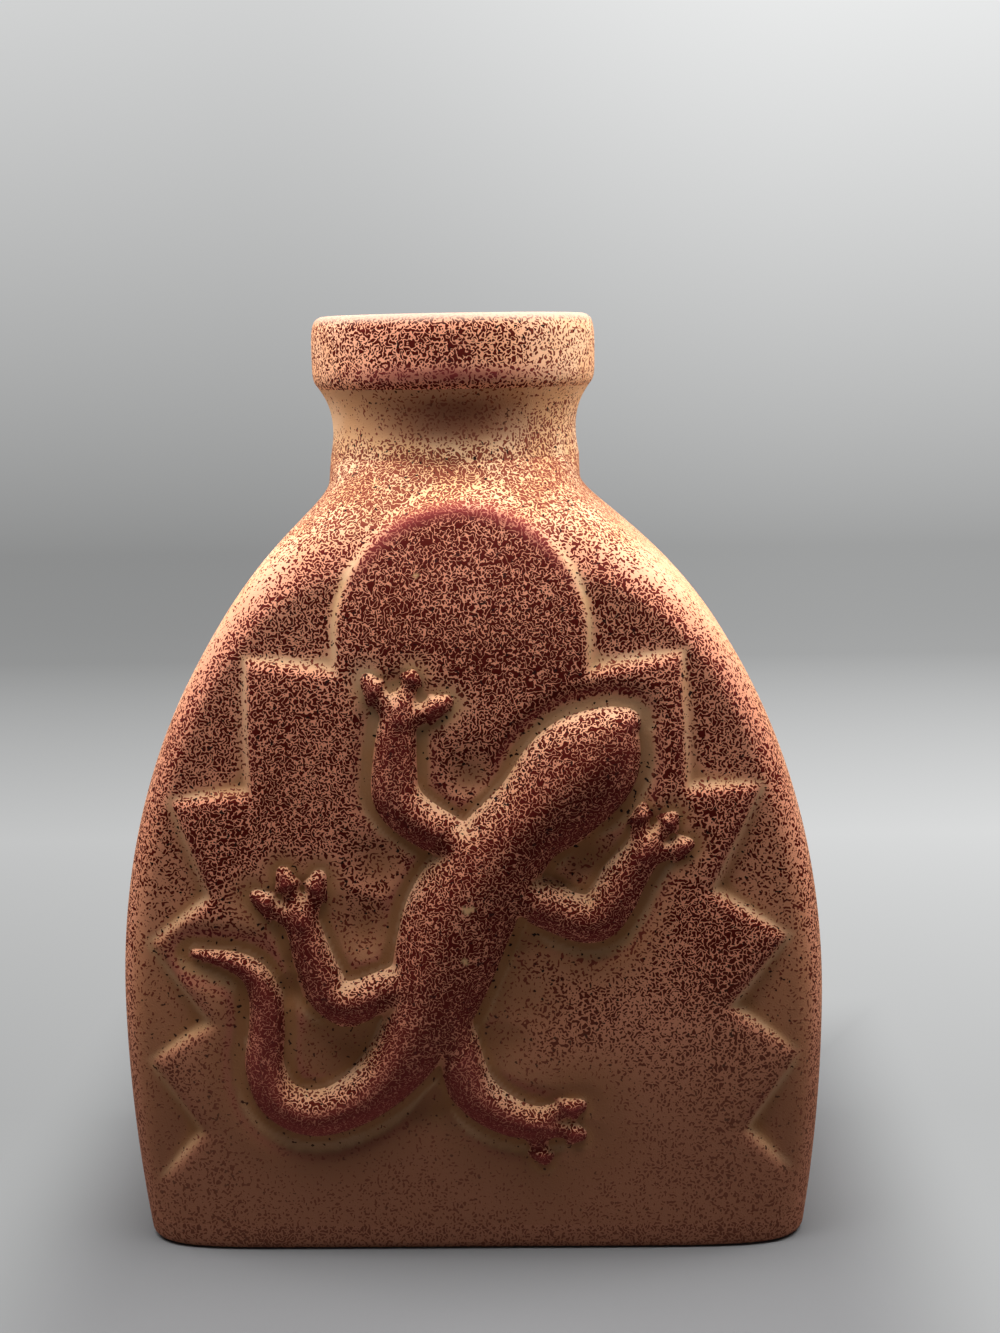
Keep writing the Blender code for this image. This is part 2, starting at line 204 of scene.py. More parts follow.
RIGHT_ARM = (
    (0.0065, 0.0985, 0.0058, 0.0052),
    (0.0225, 0.0900, 0.0064, 0.0052),
    (0.0315, 0.0878, 0.0068, 0.0052),
    (0.0365, 0.0925, 0.0064, 0.0050),
    (0.0400, 0.0985, 0.0058, 0.0046),
    (0.0455, 0.1065, 0.0050, 0.0041),
)
LEFT_LEG = (
    (-0.0115, 0.0735, 0.0058, 0.0052),
    (-0.0285, 0.0667, 0.0060, 0.0052),
    (-0.0350, 0.0676, 0.0060, 0.0051),
    (-0.0379, 0.0733, 0.0057, 0.0048),
    (-0.0403, 0.0800, 0.0053, 0.0045),
    (-0.0432, 0.0900, 0.0048, 0.0040),
)
RIGHT_LEG = (
    (-0.0055, 0.0640, 0.0058, 0.0052),
    (-0.0018, 0.0480, 0.0062, 0.0052),
    (0.0021, 0.0406, 0.0062, 0.0050),
    (0.0097, 0.0354, 0.0056, 0.0046),
    (0.0185, 0.0332, 0.0047, 0.0040),
)
LEGS = (LEFT_ARM, RIGHT_ARM, LEFT_LEG, RIGHT_LEG)
# Tips of the toes of each leg, as (x, height)
TOE_TIPS = (
    ((-0.0241, 0.1497), (-0.0130, 0.1505), (-0.0044, 0.1440)),
    ((0.0440, 0.1154), (0.0517, 0.1138), (0.0554, 0.1069)),
    ((-0.0537, 0.0946), (-0.0467, 0.1007), (-0.0376, 0.0996)),
    ((0.0277, 0.0386), (0.0276, 0.0308), (0.0185, 0.0245)),
)
# Half width and rise of a toe at its root, ball and end, and where the first two lie
TOE_ROOT = (0.0035, 0.0034)
TOE_BALL = (0.0028, 0.0026)
TOE_END = (0.0018, 0.0016)
TOE_ROOT_SHARE = 0.12
TOE_BALL_SHARE = 0.7
# How round the limbs are, and how sharply they run into each other
DOME_POWER = 0.75
LIMB_BLEND = 5
# How deep the lizard sits in the wall, and the rise that counts as its outline
SEAT_DEPTH = 0.0012
OUTLINE_RISE = 0.00005
CUT_MARGIN = 0.05
# Reach of the grid that the lizard is cut from
LIZARD_X = (-0.0760, 0.0620)
LIZARD_Z = (0.0180, 0.1580)

# Places where the glaze has flaked, as (x, height, radius)
LIZARD_FLAKES = (
    (0.0000, 0.0919, 0.0009),
    (0.0012, 0.0923, 0.0007),
    (-0.0009, 0.0925, 0.0005),
    (-0.0010, 0.0789, 0.0006),
    (-0.0005, 0.0781, 0.0005),
)
ARCH_FLAKES = ((-0.0115, 0.1755, 0.0006),)
FLAKE_BLUR = 0.3

# Fineness of the meshes
WALL_ROWS = 257
WALL_COLUMNS = 353
INNER_STEP = 4
TURN_STEPS = 240
PATH_STEPS = 9
PLAN_STEPS = 301
FOOT_STEPS = 9
BORE_STEPS = 9
LIZARD_CELL = 0.0005
WALL_CELL = 0.00076
BATCH = 20000
ROW_CROWDING = 1.25
SHARP_DEGREES = 62.0
MM_PER_METRE = 1000.0
# A distance beyond every piece
FAR = 1.0

# The finish in vertex attributes, among them the painted warm shade, the painted brown shade and the
# lip's painted sheen, and that of the body's inside
FINISH_LAYERS = ("level", "film", "warm_shade", "brown_shade", "flake", "lip_sheen", "veil")
INSIDE_FINISH = (0.15, 0.0, 0.5, 0.3, 0.0, 0.0, 0.0)
# How far from its middle the noise must lie for a given share of speckle
SPECKLE_SHARES = (0.0, 0.05, 0.10, 0.20, 0.30, 0.40, 0.50, 0.60, 0.70, 0.80, 0.90, 1.0)
SPECKLE_LEVELS = (0.42, 0.280, 0.235, 0.183, 0.148, 0.120, 0.0965, 0.075, 0.055, 0.036, 0.018, -0.03)
# How far the sprayed speckle evens out the relief, and how much it keeps off upper sides
SPRAY_REACH = 0.0021
SPRAY_TILT = 0.0006
HOLLOW_BAND = (0.0001, 0.0007)
EDGE_BAND = (0.0001, 0.0010)
UPWARD_BAND = (0.1, 0.6)
# Waves of the slow drift, as (across, up, phase), and its strength in the speckle
DAPPLE_WAVES = ((61.0, 43.0, 0.3), (-37.0, 88.0, 1.9), (113.0, -71.0, 4.1), (149.0, 127.0, 2.6))
DRIFT = 0.04

# Heights between which the finish changes
LOW_BAND = (0.025, 0.085)
LIZARD_LOW_BAND = (0.035, 0.085)
HIGH_BAND = (0.050, 0.150)
CLEAR_BAND = (0.070, 0.108)
VEIL_START = (0.100, 0.150)
# Heights over which the painted warm shade fades out towards the shoulders
WARM_SHADE_BAND = (0.110, 0.190)
THINNED_BAND = (0.125, 0.165)
ARCH_FOOT_BAND = (0.140, 0.152)
ARCH_LINE_START = (0.146, 0.156)
ARCH_LINE_END = (0.176, 0.188)
ARCH_RED_BAND = (0.165, 0.185)
SHOULDER_BAND = (0.172, 0.194)
VEIL_END = (0.180, 0.194)
# Depths off the middle plane between which it changes, and the roll of the sides into the flats
FACING_DEPTH = (0.020, 0.040)
# Depths from which the flats take the painted warm shade
WARM_SHADE_DEPTH = (0.030, 0.046)
FLAT_DEPTH = (0.0425, 0.0465)
PLATEAU_DEPTH = (0.046, 0.048)
ROLL_DEPTH = 0.0440
ROLL_REACH = 0.0055
# Distances inside the pockets and the arch between which it changes, and lines as (distance, reach)
POCKET_BAND = (-0.0002, 0.0018)
ARCH_BAND = (-0.0004, 0.0008)
# Pale lines beside the arch and along the teeth carry a painted highlight, beside the arch with bare
# glaze too
ARCH_LINE = (-0.0010, 0.0013)
TOOTH_LINE = (0.0009, 0.0010)
CROWN_LINE = (0.0010, 0.0024)
# Shares of speckle and of red film, and their change towards the foot or up the body
FIELD_TONE = (0.63, 0.95)
FIELD_TO_FOOT = (-0.36, -0.50)
BACK_TONE = (0.62, 0.90)
BACK_TO_FOOT = (-0.36, -0.45)
SUNK_TONE = (0.12, 0.20)
SUNK_UPWARDS = (0.49, 0.65)
ARCH_TONE = (0.70, 0.95)
# What is cleared off round the lizard: the shares of speckle and film, and how far
FIELD_CLEARED = (0.85, 0.97)
ARCH_CLEARED = 0.75
CLEAR_REACH = 0.0040
CLEAR_REACH_LOW = 0.0085
ARCH_CLEAR_REACH = 0.0035
# Painted shade near the foot: a brown that darkens the speckle and evens it out
FOOT_BROWN_SHADE = 0.85
# Degrees to the right of the front between which the neck and the rim change
NECK_RIGHT = (20.0, 60.0)
# Where the painted warm shade on the upper neck ends
NECK_WARM_SHADE_END = (10.0, 50.0)
RIM_RIGHT = (22.0, 55.0)
# Heights of the neck's speckle, of its painted warm shade under the rim and of the rim's painted shadow
# on it, and of the rim's lip with its painted sheen and its red line
NECK_SPECKLE_TOP = 0.2055
NECK_SPECKLE_CLIMB = 0.0110
NECK_WARM_SHADE = (0.2045, 0.2110)
RIM_SHADOW_START = (0.2050, 0.2120)
RIM_SHADOW_END = (0.2160, 0.2205)
LIP_SHEEN_BAND = (0.2370, 0.2394)
RIM_RED_LINE = 0.2246
# Finish of the bore, with painted warm shade inside it, and how far from its radius it still counts as
# the bore
BORE_MARGIN = 0.0005
BORE_SPECKLE = 0.25
BORE_WARM_SHADE = 0.9

# Colours of the glaze, as linear red, green and blue
TAN = (0.72, 0.42, 0.205)
PALE_TAN = (0.80, 0.53, 0.315)
# Dark warm brown of the painted shade
WARM_SHADE_TAN = (0.335, 0.130, 0.048)
RED_FILM = (0.96, 0.375, 0.235)
MAROON = (0.085, 0.007, 0.004)
THIN_RED = (0.21, 0.048, 0.027)
NEAR_BLACK = (0.018, 0.008, 0.007)
# Brown of the painted shade near the foot and of the rim's painted shadow on the neck
SHADE_BROWN = (0.225, 0.088, 0.053)
CRIMSON = (0.28, 0.046, 0.043)
# Grey pink of the painted sheen on the rim's lip
LIP_SHEEN_GREY = (0.38, 0.25, 0.19)

# How much each layer covers, and where the ground pales and the red thickens
WARM_SHADE_SHARE = 0.90
FILM_SHARE = 0.85
BROWN_SHADE_SHARE = 0.75
VEIL_SHARE = 0.75
PALE_BAND = (0.3, 0.7)
THICK_BAND = (0.10, 0.65)
# Noises of the glaze, and the relief they give
WORM_SCALE = 1080.0
WORM_TWIST = 0.40
WORM_EDGE = 0.010
GRAIN_SCALE = 1000.0
GRAIN_BAND = (0.71, 0.74)
DRIFT_SCALE = 70.0
LEVEL_DRIFT = 0.06
FINE_SCALE = 2400.0
NOISE_MIDDLE = 0.5
WORM_RELIEF = 0.9
FINE_RELIEF = 0.3
BUMP_DISTANCE = 0.0003
BUMP_STRENGTH = 0.5
GLAZE_ROUGHNESS = 0.78
GLAZE_SPECULAR = 0.04

# Paper sweep: a floor that bends up into a wall, in two near greys
STAGE_FRONT = -2.20
STAGE_BACK = 1.45
STAGE_SIDE = 2.40
STAGE_TOP = 1.50
SWEEP_START = 0.05
SWEEP_RADIUS = 0.30
SWEEP_STEPS = 12
PAPER_DARK = (0.143, 0.143, 0.146)
PAPER_PALE = (0.162, 0.162, 0.165)
PAPER_SCALE = 9.0
PAPER_ROUGHNESS = 0.7
# A plain fall of light from the floor behind the vase to the top, as (share of the run, grey)
SWEEP_GREYS = (
    (0.0, 0.48),
    (0.13, 0.62),
    (0.34, 0.33),
    (0.46, 0.30),
    (0.66, 0.72),
)
SWEEP_TINT = 1.01
# Its strength at the left and what it gains to the right
SWEEP_STRENGTH = 0.88
SWEEP_SIDE_GAIN = 0.26
SWEEP_SIDE_BAND = (-0.30, 0.30)
# Where it takes over from the lit floor: behind the vase, as a share of the run, and beside it
SWEEP_FAR_BAND = (0.0, 0.04)
SWEEP_ASIDE_BAND = (0.085, 0.14)

# Soft lights, as (name, place, target, width, height, watts)
LIGHTS = (
    ("top_light", (0.01, -0.052, 0.50), (0.0, -0.01, 0.12), 0.54, 0.26, 4.2),
    ("right_light", (0.34, 0.02, 0.44), (0.0, 0.0, 0.16), 0.20, 0.30, 1.65),
    ("left_light", (-0.34, 0.02, 0.44), (0.0, 0.0, 0.16), 0.20, 0.30, 1.50),
)
# The room as light, and as the camera sees it
ROOM_LIT = (0.80, 0.80, 0.80)
ROOM_STRENGTH = 0.03
ROOM_SHOWN = (0.45, 0.455, 0.455)

# Camera, in the photo's pixels, metres and degrees
PHOTO_HEIGHT = 1333
FOCAL_PIXELS = 2072.9
SENSOR_MM = 36.0
CAMERA_DISTANCE = 0.560
CAMERA_SIDE = -0.0015
EYE_HEIGHT = 0.23065
CAMERA_YAW = 2.5
CAMERA_PITCH = 8.698
CAMERA_ROLL = 0.973
PAN_PIXELS = 34.07
CLIP_START = 0.01


def smoothstep(low, high, value):
    """0 below the band, 1 above it and a smooth climb between."""
    share = np.clip((value - low) / (high - low), 0.0, 1.0)
    return share * share * (3.0 - 2.0 * share)


def soft_positive(value, radius):
    """The value where it is positive and 0 elsewhere, with the corner rounded."""
    return 0.5 * (value + np.sqrt(value * value + radius * radius))


def soft_max(first, second, radius):
    return first + soft_positive(second - first, radius)


def soft_min(first, second, radius):
    return first - soft_positive(first - second, radius)


def bell(distance, reach):
    """1 at no distance, falling off like a bell."""
    return np.exp(-((distance / reach) ** 2))


# The body's form: an oval dome in the front view, a square-shouldered one from the side,
# both running into the round foot of the neck


def into_neck(half):
    return (half**NECK_BLEND + NECK_RADIUS**NECK_BLEND) ** (1.0 / NECK_BLEND)


def before_neck(half):
    return (half**NECK_BLEND - NECK_RADIUS**NECK_BLEND) ** (1.0 / NECK_BLEND)


def rise(z, top):
    return np.clip((z - WIDEST_Z) / (top - WIDEST_Z), 0.0, 1.0)


def half_width(z):
    dome = np.sqrt(1.0 - rise(z, BODY_HEIGHT - DOME_DROP) ** 2)
    fall = np.clip((WIDEST_Z - z) / WIDEST_Z, 0.0, 1.0)
    return into_neck(before_neck(BODY_WIDTH / 2) * dome) - (BODY_WIDTH - FOOT_WIDTH) / 2 * fall**2


def half_depth(z):
    dome = np.sqrt(1.0 - rise(z, BODY_HEIGHT) ** SHOULDER_SQUARENESS)
    return into_neck(before_neck(BODY_DEPTH / 2) * dome)


def squareness(z):
    return 2.0 + (PLAN_SQUARENESS - 2.0) * (1.0 - rise(z, BODY_HEIGHT) ** PLAN_FADE)


def middle(z):
    lean = np.clip(1.0 - (BODY_HEIGHT - z) / LEAN_HEIGHT, 0.0, 1.0)
    return COLLAR_SHIFT * lean * lean * (3.0 - 2.0 * lean)


def body_front(x, z):
    """How far the uncarved front stands before the middle plane."""
    across = np.clip(np.abs(x - middle(z)) / half_width(z), 0.0, 1.0)
    power = squareness(z)
    return half_depth(z) * (1.0 - across**power) ** (1.0 / power)


def half_plan(z, share, side_inset=0.0, front_inset=0.0):
    """Points (x, depth) of half the plan at height z, spaced evenly from the left seam to the right."""
    quarter = (1.0 - np.cos(np.linspace(0.0, math.pi, PLAN_STEPS))) / 4.0
    turn = math.pi * np.concatenate([quarter, 0.5 + quarter[1:]])
    power = 2.0 / squareness(z)
    cos = np.cos(turn)
    x = -(half_width(z) - side_inset) * np.sign(cos) * np.abs(cos) ** power
    depth = (half_depth(z) - front_inset) * np.abs(np.sin(turn)) ** power
    depth[[0, -1]] = 0.0
    run = np.concatenate([[0.0], np.cumsum(np.hypot(np.diff(x), np.diff(depth)))])
    place = share * run[-1]
    return middle(z) + np.interp(place, run, x), np.interp(place, run, depth)


def wall_grid(rows, columns, side_inset=0.0, front_inset=0.0):
    """A grid of (x, depth, height) over half of the body, closer rows up the shoulder."""
    climb = 1.0 - (1.0 - np.linspace(0.0, 1.0, rows)) ** ROW_CROWDING
    heights = FLOOR_THICKNESS + (BODY_HEIGHT - FLOOR_THICKNESS) * climb
    share = np.linspace(0.0, 1.0, columns)
    grid = np.empty((rows, columns, 3))
    for row, z in enumerate(heights):
        thin = front_inset
        if front_inset > SIDE_WALL:
            thin = SIDE_WALL + (front_inset - SIDE_WALL) * (1.0 - rise(z, BODY_HEIGHT) ** PLAN_FADE)
        grid[row, :, 0], grid[row, :, 1] = half_plan(z, share, side_inset, thin)
        grid[row, :, 2] = z
    return grid


# The carving


def past_line(x, z, start, end, inside):
    """Distance from a line, positive on the side of a third point."""
    along = Vector(end) - Vector(start)
    along.normalize()
    across = Vector((-along.y, along.x))
    if across.dot(Vector(inside) - Vector(start)) < 0.0:
        across = -across
    return (x - start[0]) * across.x + (z - start[1]) * across.y


def inside_arch(x, z):
    """Distance inside the arch's outline, negative outside it."""
    spring = ARCH_TOP - ARCH_HALF_WIDTH
    up = np.clip(z - spring, 0.0, None)
    return ARCH_HALF_WIDTH - np.hypot(x - ARCH_CENTRE_X, up)


def inside_pockets(x, z):
    """Distance inside the nearest sunk triangle, negative on the raised field."""
    nearest = np.full(x.shape, -FAR)
    for side, zigzag in ((-1.0, ZIGZAG_LEFT), (1.0, ZIGZAG_RIGHT)):
        foot, tip = zigzag[0], zigzag[1]
        above = past_line(x, z, foot, tip, (tip[0], tip[1] + 0.01))
        places = [soft_min(-inside_arch(x, z), above, EDGE_ROUND)]
        for index in range(2, len(zigzag) - 1, 2):
            upper, root, lower = zigzag[index - 1 : index + 2]
            over = past_line(x, z, root, upper, lower)
            under = past_line(x, z, root, lower, upper)
            places.append(soft_min(over, under, EDGE_ROUND))
        here = np.where(x * side > 0.0, np.max(places, axis=0), -FAR)
        nearest = np.maximum(nearest, here)
    return nearest


def smooth_path(stations):
    """The stations of a limb with smooth steps between them."""
    points = np.array([stations[0], *stations, stations[-1]])
    share = np.linspace(0.0, 1.0, PATH_STEPS, endpoint=False)[:, None]
    pieces = []
    for before, start, end, after in zip(points, points[1:], points[2:], points[3:]):
        bend = 2 * before - 5 * start + 4 * end - after
        swing = 3 * start - before - 3 * end + after
        pieces.append(start + 0.5 * share * (end - before + share * (bend + share * swing)))
    pieces.append(points[-1:])
    return np.concatenate(pieces)


def toe_path(leg, tip):
    ankle = Vector(leg[-1][:2])
    shin = (Vector(leg[-2][:2]) - ankle).normalized()
    end = Vector(tip)
    root = ankle + shin * TOE_ROOT[0] + (end - ankle) * TOE_ROOT_SHARE
    ball = root.lerp(end, TOE_BALL_SHARE)
    return smooth_path(((*root, *TOE_ROOT), (*ball, *TOE_BALL), (*end, *TOE_END)))


def lizard_limbs():
    """Paths of the body, the legs and the toes, each with how deep and how far its halo is pressed."""
    limbs = [(smooth_path(SPINE), *BODY_HALO), (smooth_path(BROW), *BODY_HALO)]
    for leg, tips in zip(LEGS, TOE_TIPS):
        limbs.append((smooth_path(leg), *LEG_HALO))
        for tip in tips:
            limbs.append((toe_path(leg, tip), *TOE_HALO))
    return limbs


def limb_distance(x, z, path):
    """Distance outside a limb, and the share of its half width and its rise at the nearest station."""
    gap = np.empty(x.size)
    across = np.empty(x.size)
    height = np.empty(x.size)
    for first in range(0, x.size, BATCH):
        part = slice(first, first + BATCH)
        away = np.hypot(x[part, None] - path[:, 0], z[part, None] - path[:, 1])
        nearest = np.argmin(away - path[:, 2], axis=1)
        reach = away[np.arange(nearest.size), nearest]
        gap[part] = reach - path[nearest, 2]
        across[part] = reach / path[nearest, 2]
        height[part] = path[nearest, 3]
    return gap, across, height


def hollows(x, z):
    """Share of the full depth in the hollows between the limbs."""
    total = np.zeros(x.shape)
    for place_x, place_z, reach, share in HOLLOWS:
        total = np.maximum(total, share * bell(np.hypot(x - place_x, z - place_z), reach))
    return total


def lizard_fields(x, z, pressed=1.0, spread=1.0):
    """Distance outside the lizard, the depth of the halo round it and its rise above that."""
    shape = x.shape
    x, z = x.ravel(), z.ravel()
    distance = np.full(x.size, FAR)
    halo = hollows(x, z)
    domes = np.zeros(x.size)
    for path, press, reach in lizard_limbs():
        gap, across, height = limb_distance(x, z, path)
        distance = np.minimum(distance, gap)
        groove = pressed * press * (1.0 - smoothstep(HALO_FLAT, HALO_FLAT + spread * reach, gap))
        halo = np.maximum(halo, groove)
        dome = height * np.clip(1.0 - across**2.0, 0.0, None) ** DOME_POWER
        domes += (dome * MM_PER_METRE) ** LIMB_BLEND
    rises = domes ** (1.0 / LIMB_BLEND) / MM_PER_METRE
    halo = np.clip(halo, 0.0, 1.0)
    return distance.reshape(shape), HALO_DEPTH * halo.reshape(shape), rises.reshape(shape)


def carved_front(x, z, front, halo):
    """How far the carved front stands before the middle plane."""
    ground = BODY_DEPTH / 2 - GROUND_DEPTH
    drop = POCKET_SLOPE * soft_positive(inside_pockets(x, z), EDGE_ROUND)
    most = soft_positive(front - ground, GROUND_ROUND)
    carved = front - (drop**-POCKET_BLEND + most**-POCKET_BLEND) ** (-1.0 / POCKET_BLEND)
    climb = np.clip((z - ARCH_FOOT) / (ARCH_TOP - ARCH_FOOT), 0.0, ARCH_CLIMB_LIMIT)
    face = BODY_DEPTH / 2 - ARCH_FOOT_INSET - (ARCH_TOP_INSET - ARCH_FOOT_INSET) * climb**2
    face -= ARCH_FOOT_FALL * soft_positive(ARCH_FOOT - z, ARCH_FOOT_ROUND)
    slope = ARCH_SLOPE + (ARCH_TOP_SLOPE - ARCH_SLOPE) * smoothstep(*ARCH_TOP_BAND, z)
    boss = face - slope * soft_positive(-inside_arch(x, z), EDGE_ROUND)
    return soft_max(carved, boss, BOSS_ROUND) - halo


# Where the speckle lies: thick on what faces the front, thin in corners and round the lizard


def dapple(x, z, seed):
    """Slow uneven drift of the glaze, from -1 to 1."""
    total = np.zeros(x.shape)
    for across, up, phase in DAPPLE_WAVES:
        total += np.sin(across * x + up * z + phase * seed)
    return total / len(DAPPLE_WAVES)


def spots(x, z, places):
    """1 in each of the round places, with a soft edge."""
    total = np.zeros(x.shape)
    for place_x, place_z, radius in places:
        away = np.hypot(x - place_x, z - place_z)
        inner, outer = (1.0 - FLAKE_BLUR) * radius, (1.0 + FLAKE_BLUR) * radius
        total = np.maximum(total, 1.0 - smoothstep(inner, outer, away))
    return total


def blurred(values, cells):
    """The grid blurred along both of its axes by a bell of so many cells."""
    reach = 3 * cells
    weights = bell(np.arange(-reach, reach + 1), math.sqrt(2.0) * cells)
    padded = np.pad(values, reach, mode="edge")
    for axis in (0, 1):
        padded = np.apply_along_axis(np.convolve, axis, padded, weights / weights.sum(), "valid")
    return padded


def sprayed(relief, z, cell):
    """How far each place lies in a hollow, where little speckle lands, on an edge, and facing up."""
    slope = np.gradient(relief, axis=0) / np.gradient(z, axis=0)
    sunk = blurred(relief, round(SPRAY_REACH / cell)) - relief
    sunk -= SPRAY_TILT * np.clip(slope, -1.0, 1.0)
    hollow = smoothstep(*HOLLOW_BAND, sunk)
    edge = smoothstep(*EDGE_BAND, -sunk)
    return hollow, edge, smoothstep(*UPWARD_BAND, -slope)


def finish_layers(speckle, film=0.0, warm_shade=0.0, brown_shade=0.0, flake=0.0, lip_sheen=0.0, veil=0.0):
    """The finish in the order of FINISH_LAYERS, with the share of speckle first."""
    return speckle, film, warm_shade, brown_shade, flake, lip_sheen, veil


def lowness(z):
    """1 at the foot, fading up the body."""
    return 1.0 - smoothstep(*LOW_BAND, z)


def flat_warm_shade(depth, z):
    """Painted warm shade: a dark warm brown on the flats, fading towards the shoulders."""
    return smoothstep(*WARM_SHADE_DEPTH, depth) * (1.0 - smoothstep(*WARM_SHADE_BAND, z))


def tone(start, change, where, drift):
    """Speckle and film, with their change where it applies and a drift in the speckle."""
    return np.array((start[0] + change[0] * where + drift, start[1] + change[1] * where))


def flank_tone(depth, z, drift):
    """The roll of the sides into the flats, and the speckle and film of the sides."""
    ridge = bell(depth - ROLL_DEPTH, ROLL_REACH)
    top = smoothstep(*SHOULDER_BAND, z)
    film = (0.45 + 0.25 * ridge) * (1.0 - 0.80 * top)
    speckle = 0.42 - 0.25 * smoothstep(*THINNED_BAND, z) + 0.04 * ridge + 0.50 * top
    return ridge, np.array((speckle + drift, film))


def rolled_veil(ridge, z):
    """Crimson along the rolled edges of the shoulders."""
    return 0.22 * ridge * smoothstep(*VEIL_START, z) * (1.0 - smoothstep(*VEIL_END, z))


def line(inside, place):
    """1 along a line at some distance inside an outline."""
    return bell(inside - place[0], place[1])


def bare_and_lit_lines(z, front, pocket, arch):
    """Pale lines beside the arch and along the edges of the teeth: beside the arch partly bare glaze and
    partly a painted highlight, along the teeth a painted highlight where the walls catch the light.
    """
    beside = line(arch, ARCH_LINE) * smoothstep(*ARCH_LINE_START, z)
    beside *= 1.0 - smoothstep(*ARCH_LINE_END, z)
    along = 0.85 * line(pocket, TOOTH_LINE) * smoothstep(*PLATEAU_DEPTH, front)
    return np.maximum(beside, along)


def carved_tone(x, z, distance, pocket, arch, drift):
    """Speckle and film of the field, the pockets and the arch, and the share of the arch."""
    low = lowness(z)
    outside = np.clip(distance, 0.0, None)
    reach = CLEAR_REACH + CLEAR_REACH_LOW * (1.0 - smoothstep(*CLEAR_BAND, z))
    clear = np.maximum(bell(outside, reach), hollows(x, z))
    field = tone(FIELD_TONE, FIELD_TO_FOOT, low, drift)
    field *= 1.0 - clear * np.array(FIELD_CLEARED)[:, None, None]
    sunk = tone(SUNK_TONE, SUNK_UPWARDS, smoothstep(*HIGH_BAND, z), drift)
    field += (sunk - field) * smoothstep(*POCKET_BAND, pocket)
    on_arch = smoothstep(*ARCH_BAND, arch) * smoothstep(*ARCH_FOOT_BAND, z)
    arched = tone(ARCH_TONE, (0.0, 0.0), low, drift)
    arched *= 1.0 - ARCH_CLEARED * bell(outside, ARCH_CLEAR_REACH)
    field += (arched - field) * on_arch
    return field, on_arch


def front_finish(x, z, front, distance, relief):
    """Finish of the front wall: thick on edges, thin in hollows, with a red crown on the arch, painted
    warm and brown shade, pale lines of painted highlight, and painted shade on the faces that face up.
    """
    pocket = inside_pockets(x, z)
    arch = inside_arch(x, z)
    hollow, edge, upward = sprayed(relief, z, WALL_CELL)
    # Painted highlight along the edges of the teeth and beside the arch, which is partly bare glaze too
    bare_and_lit = bare_and_lit_lines(z, front, pocket, arch)
    hollow = np.maximum(hollow, bare_and_lit)
    drift = DRIFT * dapple(x, z, 1.0)
    field, on_arch = carved_tone(x, z, distance, pocket, arch, drift)
    ridge, flank = flank_tone(front, z, drift)
    flat = np.maximum(smoothstep(*FLAT_DEPTH, front), on_arch)
    speckle, film = flank + (field - flank) * flat
    # Hollows that face up keep more speckle: painted shade where the light from above falls strongest
    speckle = (speckle + 0.22 * edge) * (1.0 - hollow * (0.95 - 0.70 * upward))
    film = (film + (1.0 - film) * 0.6 * edge) * (1.0 - 0.9 * hollow)
    # Painted warm shade on the flats, less on faces that face up and on the pale lines
    warm_shade = flat_warm_shade(front, z) * ((1.0 - 0.3 * upward) * (1.0 - 0.6 * bare_and_lit))
    # Up-facing faces of the raised field take painted warm shade where the light from above falls
    # strongest
    warm_shade = np.maximum(warm_shade, 0.40 * upward * smoothstep(*PLATEAU_DEPTH, front))
    # Painted brown shade towards the foot, less in the hollows
    brown_shade = FOOT_BROWN_SHADE * lowness(z) * (1.0 - 0.7 * hollow)
    crown = line(arch, CROWN_LINE) * smoothstep(*ARCH_RED_BAND, z)
    veil = np.maximum(np.maximum(rolled_veil(ridge, z), 0.85 * crown), 0.60 * edge)
    veil *= 1.0 - hollow
    return finish_layers(speckle, film, warm_shade, brown_shade, spots(x, z, ARCH_FLAKES), veil=veil)


# Meshes


def grid_faces(rows, columns, first=0, wrap=False):
    """Four-sided faces over a grid of vertices."""
    down = np.arange(rows - 1)[:, None] * columns + first
    count = columns if wrap else columns - 1
    here = np.arange(count)[None, :]
    after = (here + 1) % columns
    corners = (down + here, down + after, down + columns + after, down + columns + here)
    return np.stack(corners, axis=-1).reshape(-1, 4).tolist()


def shell_faces(rows, columns, inner_rows, inner_columns):
    """Faces of a closed wall with a fine outer grid and a coarser inner one."""
    base = rows * columns
    faces = grid_faces(rows, columns) + grid_faces(inner_rows, inner_columns, base)
    for row in range(inner_rows - 1):
        for outer_column, inner_column in ((0, 0), (columns - 1, inner_columns - 1)):
            steps = range(row * INNER_STEP, (row + 1) * INNER_STEP + 1)
            edge = [step * columns + outer_column for step in steps]
            upper = base + (row + 1) * inner_columns + inner_column
            faces.append(edge + [upper, upper - inner_columns])
    for column in range(inner_columns - 1):
        for outer_row, inner_row in ((0, 0), (rows - 1, inner_rows - 1)):
            steps = range(column * INNER_STEP, (column + 1) * INNER_STEP + 1)
            edge = [outer_row * columns + step for step in steps]
            after = base + inner_row * inner_columns + column + 1
            faces.append(edge + [after, after - 1])
    return faces


